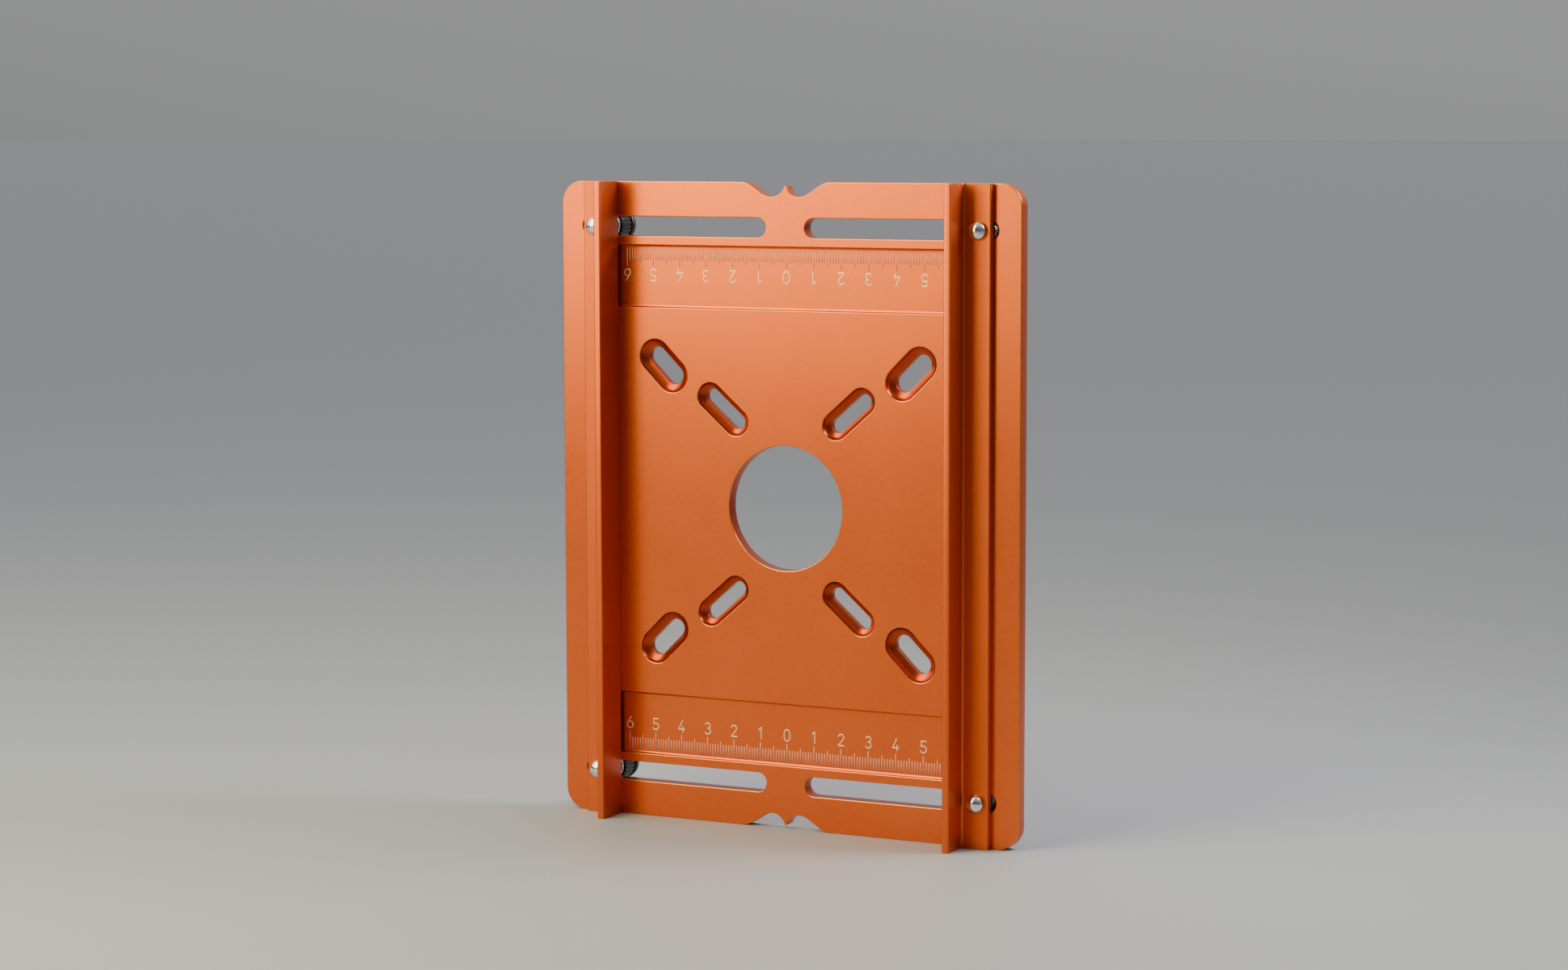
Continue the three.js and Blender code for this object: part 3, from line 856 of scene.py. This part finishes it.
# The grip: a drum with teeth, whose radius is the root plus a clipped cosine of as many waves as
# there are teeth. A quarter round limits it at both ends. Then come a groove and a plain collar
# with a dished back, round a hexagon pocket and the stud's hole.
def makeGrip(node, body, axis):
    low, high = nodeBox(node)
    count = grip["knurlCount"]
    steps = count * grip["knurlSteps"]
    angle = np.linspace(0, 2 * math.pi, steps, endpoint=False)
    crest, root = grip["radius"], grip["radius"] - grip["knurlDepth"]
    tooth = np.clip(1 / 2 + grip["knurlSwing"] * np.cos(count * angle), 0, 1)
    drum = root + (crest - root) * tooth
    face, length = low[1], grip["length"]
    run = np.linspace(0, 1, grip["endSteps"] + 1)
    limit = root + (crest - root) * np.sin(run * math.pi / 2)
    drumRadii = np.concatenate([
        np.minimum(drum, limit[:, None]),
        np.minimum(drum, limit[::-1, None]),
    ])
    drop = grip["knurlDepth"] * (1 - np.cos(run * math.pi / 2))
    drumDepths = np.concatenate([face + drop, (face + length - drop)[::-1]])
    collarFace = face + length + grip["grooveWidth"]
    collar = (high[0] - low[0]) / 2
    collarEdge = quarterRound(grip["collarRound"], grip["collarSteps"])
    dish, dishDepth = grip["dishRadius"], grip["dishDepth"]
    clearance = grip["insertClearance"]
    hole = stud["shankRadius"] + clearance
    pocketEnd = face + grip["insertLength"] + clearance - grip["insertStandOff"]
    collarRadii = [
        grip["grooveRadius"], grip["grooveRadius"],
        *(collar - collarEdge[:, 0]), *(collar - collarEdge[::-1, 0]),
        dish, dish - dishDepth, hole, hole,
    ]
    collarDepths = [
        face + length, collarFace,
        *(collarFace + collarEdge[:, 1]), *(high[1] - collarEdge[::-1, 1]),
        high[1], high[1] - dishDepth, high[1] - dishDepth, pocketEnd,
    ]
    pocket = hexagonRadii(insert["acrossFlats"] + 2 * clearance, steps)[None]
    radii = np.concatenate([
        pocket,
        drumRadii,
        np.repeat(np.array(collarRadii)[:, None], steps, axis=1),
        pocket,
        pocket,
    ])
    depths = np.concatenate([[face], drumDepths, collarDepths, [pocketEnd], [face]])
    rows = ringRows(radii, depths, axis, steps)
    makePiece(f"{node}_moulded", [strip(rows)], [blackFinish], body, [node])


for sideName, levelName in corners:
    corner = f"{sideName}_{levelName}"
    studMiddle = nodeBox(f"{corner}_stud").mean(axis=0)
    axis = (studMiddle[0], studMiddle[2])
    makeStud(f"{corner}_stud", f"{sideName}_fence", axis)
    makeWasher(f"{corner}_washer", axis)
    makeInsert(f"{corner}_insert", f"{corner}_nut", axis)
    makeGrip(f"{corner}_grip", f"{corner}_nut", axis)
print("fasteners made")

scale = {
    "reach": 60,
    "numberStep": 10,
    "baseInset": 22.3,
    "tickWidth": 0.36,
    "shortTick": 4.2,
    "halfTick": 5.2,
    "longTick": 6.3,
    "numberGap": 0.85,
    "numberHeight": 4.2,
    "noughtHalfWidth": 1.1,
    "noughtPower": 0.85,
    "noughtSteps": 32,
    "stroke": 0.37,
    "strokeSides": 8,
    "capSteps": 4,
    "sunk": 0.02,
    "proud": 0.03,
}


# The strokes of one plain numeral about the middle of its foot, as plane points in millimetres:
# arcs and straight lines given one by one, as high as the strokes' middles reach. The nought is an
# ellipse squared off a little: its cosine and sine are raised to a power below one.
def numeral(figure, high):
    if figure == 0:
        angle = np.radians(np.linspace(0, 360, scale["noughtSteps"] + 1))
        cosine, sine, power = np.cos(angle), np.sin(angle), scale["noughtPower"]
        x = scale["noughtHalfWidth"] * np.sign(cosine) * abs(cosine) ** power
        z = high / 2 * (1 + np.sign(sine) * abs(sine) ** power)
        return [np.column_stack([x, z])]
    if figure == 1:
        return [[(0.3, 0), (0.3, high)], [(-0.6, high - 0.75), (0.3, high)]]
    if figure == 2:
        bow = arc((0, high - 1), 1, 165, -35, 14)
        return [np.concatenate([bow, [(-1, 0)]]), [(-1, 0), (1.05, 0)]]
    if figure == 3:
        return [arc((0, high - 0.93), 0.93, 150, -90, 14), arc((0, 1.05), 1.05, 78, -152, 16)]
    if figure == 4:
        return [[(0.25, high), (-1.1, 0.95)], [(-1.1, 0.95), (1.1, 0.95)], [(0.5, 1.8), (0.5, 0)]]
    if figure == 5:
        bow = arc((-0.05, 1.14), 1.14, 128, -152, 18)
        return [[(-0.8, high), (0.95, high)], [(-0.8, high), (-0.76, bow[0, 1])], bow]
    return [arc((0, 1.1), 1.1, 0, 360, 28), [(-0.93, 1.7), (0.45, high)]]


# A stroke: a closed section carried along its path, half an ellipse proud of the floor and a
# shallower half sunk in it. Towards both ends it shrinks as a circle does, so they are round.
def strokeSheet(path, width, place):
    path = np.asarray(path, float)
    tangent = np.gradient(path, axis=0)
    tangent /= np.linalg.norm(tangent, axis=1)[:, None]
    steps, sides = scale["capSteps"], scale["strokeSides"]
    cap = np.radians(np.linspace(90, 0, steps + 1))[:-1]
    half = width / 2
    startCap = path[0] - np.outer(np.sin(cap) * half, tangent[0])
    endCap = path[-1] + np.outer(np.sin(cap[::-1]) * half, tangent[-1])
    spine = np.concatenate([startCap, path, endCap])
    along = np.concatenate([
        np.repeat(tangent[:1], steps, axis=0),
        tangent,
        np.repeat(tangent[-1:], steps, axis=0),
    ])
    size = np.concatenate([np.cos(cap), np.ones(len(path)), np.cos(cap[::-1])])
    turn = np.radians(np.linspace(0, 360, sides, endpoint=False))
    across = np.column_stack([-along[:, 1], along[:, 0]])
    flat = spine[:, None] + across[:, None] * (half * size[:, None] * np.cos(turn))[..., None]
    lift = np.where(np.sin(turn) > 0, scale["proud"], scale["sunk"]) * np.sin(turn)
    rise = size[:, None] * lift
    floor = front + plate["bandDepth"]
    x, z = place(flat[..., 0], flat[..., 1])
    return strip(np.stack([x, floor - rise, z], axis=-1))


# Upright boxes in one mesh: the eight corners of each from its lowest and highest corner.
def boxes(low, high):
    pick = np.array([[i & 1, i >> 1 & 1, i >> 2 & 1] for i in range(8)], bool)
    points = np.where(pick, high[:, None], low[:, None])
    sides = np.array([
        [0, 1, 3, 2], [4, 6, 7, 5], [0, 4, 5, 1],
        [2, 3, 7, 6], [0, 2, 6, 4], [1, 5, 7, 3],
    ])
    faces = (np.arange(len(low))[:, None, None] * len(pick) + sides).reshape(-1, 4)
    return {
        "points": points.reshape(-1, 3),
        "faces": faces,
        "finish": np.full(len(faces), onFace),
        "flat": True,
    }


# One scale: a tick every millimetre with longer ones at five and ten, and a numeral over each
# tenth. The upper scale is the lower one turned half a turn about the middle of the plate.
def makeScale(levelName):
    turn = -signs[levelName]
    number, step = np.arange(-scale["reach"], scale["reach"] + 1), scale["numberStep"]
    length = np.where(number % step == 0, scale["longTick"], scale["shortTick"])
    length = np.where(number % step == step / 2, scale["halfTick"], length)
    floor = front + plate["bandDepth"]
    low = np.column_stack([
        number - scale["tickWidth"] / 2,
        np.full(len(number), floor - scale["proud"]),
        np.full(len(number), scale["baseInset"]),
    ])
    high = np.column_stack([
        number + scale["tickWidth"] / 2,
        np.full(len(number), floor + scale["sunk"]),
        scale["baseInset"] + length,
    ])
    ticks = boxes(low, high)
    if turn < 0:
        ticks["points"][:, planeAxes] = [0, plateHeight] - ticks["points"][:, planeAxes]
    makePiece(f"{levelName}_scale_ticks", [ticks], [tickFinish], "plate")
    foot = scale["baseInset"] + scale["longTick"] + scale["numberGap"] + scale["stroke"] / 2
    strokeReach = scale["numberHeight"] - scale["stroke"]
    sheets = []
    for tenth in range(-scale["reach"] // step, scale["reach"] // step + 1):
        def place(x, z, tenth=tenth):
            across, up = tenth * step + x, foot + z
            return (across, up) if turn > 0 else (-across, plateHeight - up)
        paths = numeral(abs(tenth), strokeReach)
        sheets += [strokeSheet(path, scale["stroke"], place) for path in paths]
    makePiece(f"{levelName}_scale_numbers", sheets, [numberFinish], "plate")


for levelName in ("upper", "lower"):
    makeScale(levelName)
print("scales made")

studio = {
    "floorReach": 60.0,
    "floorRoughness": 0.55,
    "floorColour": (0.375, 0.38, 0.41, 1),
    "nearColour": (0.090, 0.092, 0.095, 1),
    "farColour": (0.95, 0.95, 0.95, 1),
    "brightSide": (0, 0.35, 0.94),
    "dimLean": -0.35,
}
panels = {
    "keyPanel": {
        "place": (-0.245, -0.450, 0.430),
        "target": (0, 0, 0.11),
        "size": (0.36, 0.70),
        "power": 4.0,
        "colour": (1, 0.98, 0.45),
    },
    "leftPanel": {
        "place": (-0.67, -0.47, 0.68),
        "target": (0, 0, 0.11),
        "size": (1.0, 1.1),
        "power": 6.5,
        "colour": (1, 0.99, 0.9),
    },
    "cornerPanel": {
        "place": (0.29, 0.11, 0.39),
        "target": (0.03, 0, 0.20),
        "size": (0.15, 0.15),
        "power": 1.6,
        "colour": (1, 1, 1),
    },
}


# The floor: one flat square about the origin, in a plain pale tone.
def makeFloor():
    reach = studio["floorReach"]
    points = [(x * reach, y * reach, 0) for x, y in ((-1, -1), (1, -1), (1, 1), (-1, 1))]
    mesh = bpy.data.meshes.new("floor")
    mesh.from_pydata(points, [], [(0, 1, 2, 3)])
    floor = bpy.data.objects.new("floor", mesh)
    bpy.context.scene.collection.objects.link(floor)
    colour, roughness = studio["floorColour"], studio["floorRoughness"]
    finish = Finish("floorFinish", Base_Color=colour, Roughness=roughness)
    mesh.materials.append(finish.material)


# The room's light, from dim in front of the plate to pale above and behind it: the share of the
# pale tone is the square of how far the direction leans to the bright side.
def makeWorld():
    world = bpy.data.worlds.new("studio")
    tree = NodeTree(world)
    direction = tree.node("ShaderNodeTexCoord", {}, {}, "Generated")
    sides = {0: direction, 1: studio["brightSide"]}
    lean = tree.node("ShaderNodeVectorMath", {"operation": "DOT_PRODUCT"}, sides, "Value")
    share = tree.node("ShaderNodeMapRange", {}, {"Value": lean, "From Min": studio["dimLean"]})
    tone = tree.mixed(share**2, studio["nearColour"], studio["farColour"])
    tree.links.new(tone.socket, tree.nodes["Background"].inputs["Color"])
    bpy.context.scene.world = world


# A soft panel light at its place, turned so that it looks along target less place.
def makeLight(name, panel):
    lamp = bpy.data.lights.new(name, "AREA")
    lamp.shape = "RECTANGLE"
    lamp.size, lamp.size_y = panel["size"]
    lamp.energy = panel["power"]
    lamp.color = panel["colour"]
    light = bpy.data.objects.new(name, lamp)
    light.location = panel["place"]
    aim = Vector(panel["target"]) - Vector(panel["place"])
    light.rotation_euler = aim.to_track_quat("-Z", "Y").to_euler()
    bpy.context.scene.collection.objects.link(light)


makeFloor()
makeWorld()
for name, panel in panels.items():
    makeLight(name, panel)
print("studio made")

# The camera stands where the photograph was taken from. Its place and lens come from a fit to
# the photo's scale ticks, plate edges and cutter hole.
view = {
    "place": (0.50205, -1.01094, 0.23362),
    "heading": 26.321,
    "drop": 5.956,
    "tilt": -0.07,
    "focalPixels": 4225.17,
    "pictureWidth": 1940,
    "pictureMiddle": 970,
    "aimPixel": 980,
    "sensor": 36,
    "nearest": 0.05,
}


# The camera: its focal length is the focal pixels' share of the picture, times the sensor. It
# looks along its heading, tipped down by its drop and then rolled by its tilt.
def makeCamera():
    lens = bpy.data.cameras.new("camera")
    lens.sensor_width = view["sensor"]
    lens.lens = view["focalPixels"] * view["sensor"] / view["pictureWidth"]
    lens.shift_x = (view["pictureMiddle"] - view["aimPixel"]) / view["pictureWidth"]
    lens.clip_start = view["nearest"]
    camera = bpy.data.objects.new("camera", lens)
    heading, drop = math.radians(view["heading"]), math.radians(view["drop"])
    aim = Vector((
        -math.sin(heading) * math.cos(drop),
        math.cos(heading) * math.cos(drop),
        -math.sin(drop),
    ))
    roll = Matrix.Rotation(math.radians(view["tilt"]), 3, "Z")
    turn = aim.to_track_quat("-Z", "Y").to_matrix() @ roll
    camera.matrix_world = Matrix.Translation(view["place"]) @ turn.to_4x4()
    bpy.context.scene.collection.objects.link(camera)
    bpy.context.scene.camera = camera


makeCamera()
print("camera made")
